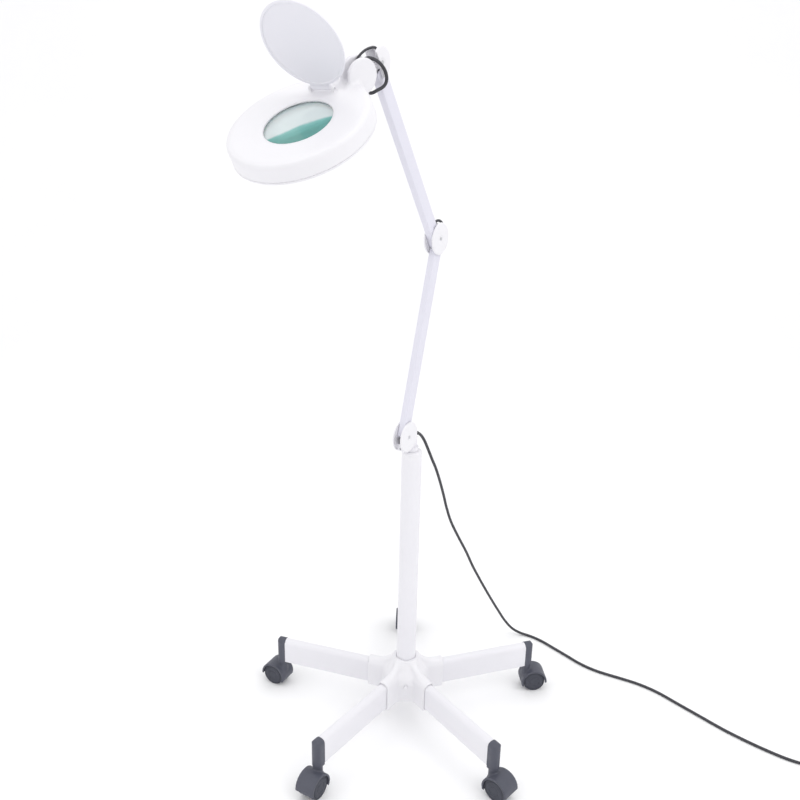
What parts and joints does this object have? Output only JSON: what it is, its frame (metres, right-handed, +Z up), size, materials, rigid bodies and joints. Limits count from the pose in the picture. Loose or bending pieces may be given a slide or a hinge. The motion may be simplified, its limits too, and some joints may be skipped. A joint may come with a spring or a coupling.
{
  "type": "magnifying lamp",
  "caption": "Floor-standing magnifying lamp on a five-leg caster base, with two sprung parallelogram arms and a round head holding a glass lens under a hinged cover.",
  "frame": {"origin": "on the floor under the pole's axis", "axes": "+Z up along the pole, one leg along +Y; the head leans towards -X -Y"},
  "size_m": [1.3186, 0.6474, 1.4159],
  "materials": {
    "white_metal": "smooth white powder coat",
    "white_plastic": "smooth white moulding",
    "cover_plastic": "thin white moulding",
    "grey_plastic": "dark grey moulding",
    "wheel_tread": "dark grey tread",
    "steel": "plain plated steel",
    "lens_glass": "clear with a green edge",
    "diffuser_plastic": "translucent white",
    "board": "white board",
    "cord_rubber": "black sheath",
    "plug_plastic": "black moulding"
  },
  "bodies": {
    "stand": {"hub": "white_plastic", "hub_screw": "white_plastic", "pole": "white_metal", "pole_insert": "white_plastic", "leg_1": "white_metal", "leg_2": "white_metal", "leg_3": "white_metal", "leg_4": "white_metal", "leg_5": "white_metal", "leg_caps": "grey_plastic", "caster_stems": "steel", "cord_start": "cord_rubber", "supply_cord": "cord_rubber", "cord_coil": "cord_rubber", "plug": "plug_plastic"},
    "caster_1": {"caster_hood_1": "grey_plastic", "caster_axle_1": "steel"},
    "wheels_1": {"caster_wheels_1": "wheel_tread"},
    "caster_2": {"caster_hood_2": "grey_plastic", "caster_axle_2": "steel"},
    "wheels_2": {"caster_wheels_2": "wheel_tread"},
    "caster_3": {"caster_hood_3": "grey_plastic", "caster_axle_3": "steel"},
    "wheels_3": {"caster_wheels_3": "wheel_tread"},
    "caster_4": {"caster_hood_4": "grey_plastic", "caster_axle_4": "steel"},
    "wheels_4": {"caster_wheels_4": "wheel_tread"},
    "caster_5": {"caster_hood_5": "grey_plastic", "caster_axle_5": "steel"},
    "wheels_5": {"caster_wheels_5": "wheel_tread"},
    "arm_base": {"arm_bracket": "white_metal", "bracket_covers": "white_plastic", "bracket_fasteners": "steel", "cord_relief": "cord_rubber"},
    "lower_front": {"lower_front_channel": "white_metal"},
    "lower_rear": {"lower_rear_channel": "white_metal", "lower_spring": "steel"},
    "elbow": {"elbow_bracket": "white_metal", "elbow_covers": "white_plastic", "elbow_fasteners": "steel", "elbow_cord": "cord_rubber"},
    "upper_front": {"upper_front_channel": "white_metal"},
    "upper_rear": {"upper_rear_channel": "white_metal", "upper_spring": "steel"},
    "arm_end": {"end_bracket": "white_metal", "end_covers": "white_plastic", "end_fasteners": "steel"},
    "knuckle": {"head_knuckle": "white_metal", "swivel_pin": "steel", "head_cord": "cord_rubber"},
    "head": {"head_housing": "white_plastic", "head_base": "white_plastic", "tilt_pin": "steel", "light_ring": "board", "diffuser": "diffuser_plastic", "lens": "lens_glass", "lens_ring": "white_plastic", "cover_hinge_pin": "steel"},
    "cover": {"lens_cover": "cover_plastic"},
    "switch": {"switch_button": "white_plastic"}
  },
  "joints": [
    {"name": "caster_swivel_1", "type": "hinge", "parent": "stand", "child": "caster_1", "pos_m": [0, 0.289, 0.05], "axis": [0, 0, 1], "continuous": true},
    {"name": "caster_roll_1", "type": "hinge", "parent": "caster_1", "child": "wheels_1", "pos_m": [0.00059, 0.30599, 0.024], "axis": [-0.9994, 0.0349, 0], "continuous": true},
    {"name": "caster_swivel_2", "type": "hinge", "parent": "stand", "child": "caster_2", "pos_m": [-0.27486, 0.08931, 0.05], "axis": [0, 0, 1], "continuous": true},
    {"name": "caster_roll_2", "type": "hinge", "parent": "caster_2", "child": "wheels_2", "pos_m": [-0.28986, 0.09729, 0.024], "axis": [-0.4695, -0.8829, 0], "continuous": true},
    {"name": "caster_swivel_3", "type": "hinge", "parent": "stand", "child": "caster_3", "pos_m": [-0.16987, -0.23381, 0.05], "axis": [0, 0, 1], "continuous": true},
    {"name": "caster_roll_3", "type": "hinge", "parent": "caster_3", "child": "wheels_3", "pos_m": [-0.17888, -0.24822, 0.024], "axis": [0.848, -0.5299, 0], "continuous": true},
    {"name": "caster_swivel_4", "type": "hinge", "parent": "stand", "child": "caster_4", "pos_m": [0.16987, -0.23381, 0.05], "axis": [0, 0, 1], "continuous": true},
    {"name": "caster_roll_4", "type": "hinge", "parent": "caster_4", "child": "wheels_4", "pos_m": [0.1825, -0.24518, 0.024], "axis": [0.6691, 0.7431, 0], "continuous": true},
    {"name": "caster_swivel_5", "type": "hinge", "parent": "stand", "child": "caster_5", "pos_m": [0.27486, 0.08931, 0.05], "axis": [0, 0, 1], "continuous": true},
    {"name": "caster_roll_5", "type": "hinge", "parent": "caster_5", "child": "wheels_5", "pos_m": [0.29179, 0.09079, 0.024], "axis": [-0.0872, 0.9962, 0], "continuous": true},
    {"name": "arm_swivel", "type": "hinge", "parent": "stand", "child": "arm_base", "pos_m": [0, 0, 0.6], "axis": [0, 0, 1], "range_deg": [-120, 120], "deforming": ["cord_start"]},
    {"name": "lower_tilt", "type": "hinge", "parent": "arm_base", "child": "lower_front", "pos_m": [-0.01706, -0.028, 0.6674], "axis": [0.854, -0.5203, 0], "range_deg": [-20, 55], "deforming": ["elbow_cord"]},
    {"name": "lower_rear_tilt", "type": "hinge", "parent": "arm_base", "child": "lower_rear", "pos_m": [-0.01077, -0.01767, 0.66421], "axis": [0.854, -0.5203, 0], "range_deg": [-20, 55]},
    {"name": "elbow_level", "type": "hinge", "parent": "lower_front", "child": "elbow", "pos_m": [0.02984, 0.04897, 1.00973], "axis": [0.854, -0.5203, 0], "range_deg": [-55, 20]},
    {"name": "upper_tilt", "type": "hinge", "parent": "elbow", "child": "upper_front", "pos_m": [0.03116, 0.05115, 1.02909], "axis": [0.854, -0.5203, 0], "range_deg": [-28, 45]},
    {"name": "upper_rear_tilt", "type": "hinge", "parent": "elbow", "child": "upper_rear", "pos_m": [0.03652, 0.05995, 1.03617], "axis": [0.854, -0.5203, 0], "range_deg": [-28, 45]},
    {"name": "end_level", "type": "hinge", "parent": "upper_front", "child": "arm_end", "pos_m": [-0.07227, -0.11863, 1.31836], "axis": [0.854, -0.5203, 0], "range_deg": [-45, 28]},
    {"name": "head_swivel", "type": "hinge", "parent": "arm_end", "child": "knuckle", "pos_m": [-0.081, -0.13308, 1.32285], "axis": [-0.2738, -0.4494, 0.8504], "range_deg": [-30, 70], "deforming": ["head_cord"]},
    {"name": "head_tilt", "type": "hinge", "parent": "knuckle", "child": "head", "pos_m": [-0.10011, -0.1467, 1.3095], "axis": [-0.6512, 0.7373, 0.18], "range_deg": [-35, 35]},
    {"name": "cover_hinge", "type": "hinge", "parent": "head", "child": "cover", "pos_m": [-0.15742, -0.15807, 1.29505], "axis": [0.854, -0.5203, 0], "range_deg": [-12, 85.8]},
    {"name": "switch_press", "type": "slide", "parent": "head", "child": "switch", "axis": [0.291, -0.8814, -0.3721], "range_m": [0, 0.002], "stiffness_N_per_m": 400}
  ],
  "couplings": [
    {"joint": "lower_rear_tilt", "follows": "lower_tilt", "ratio": 1},
    {"joint": "elbow_level", "follows": "lower_tilt", "ratio": -1},
    {"joint": "upper_rear_tilt", "follows": "upper_tilt", "ratio": 1},
    {"joint": "end_level", "follows": "upper_tilt", "ratio": -1}
  ]
}
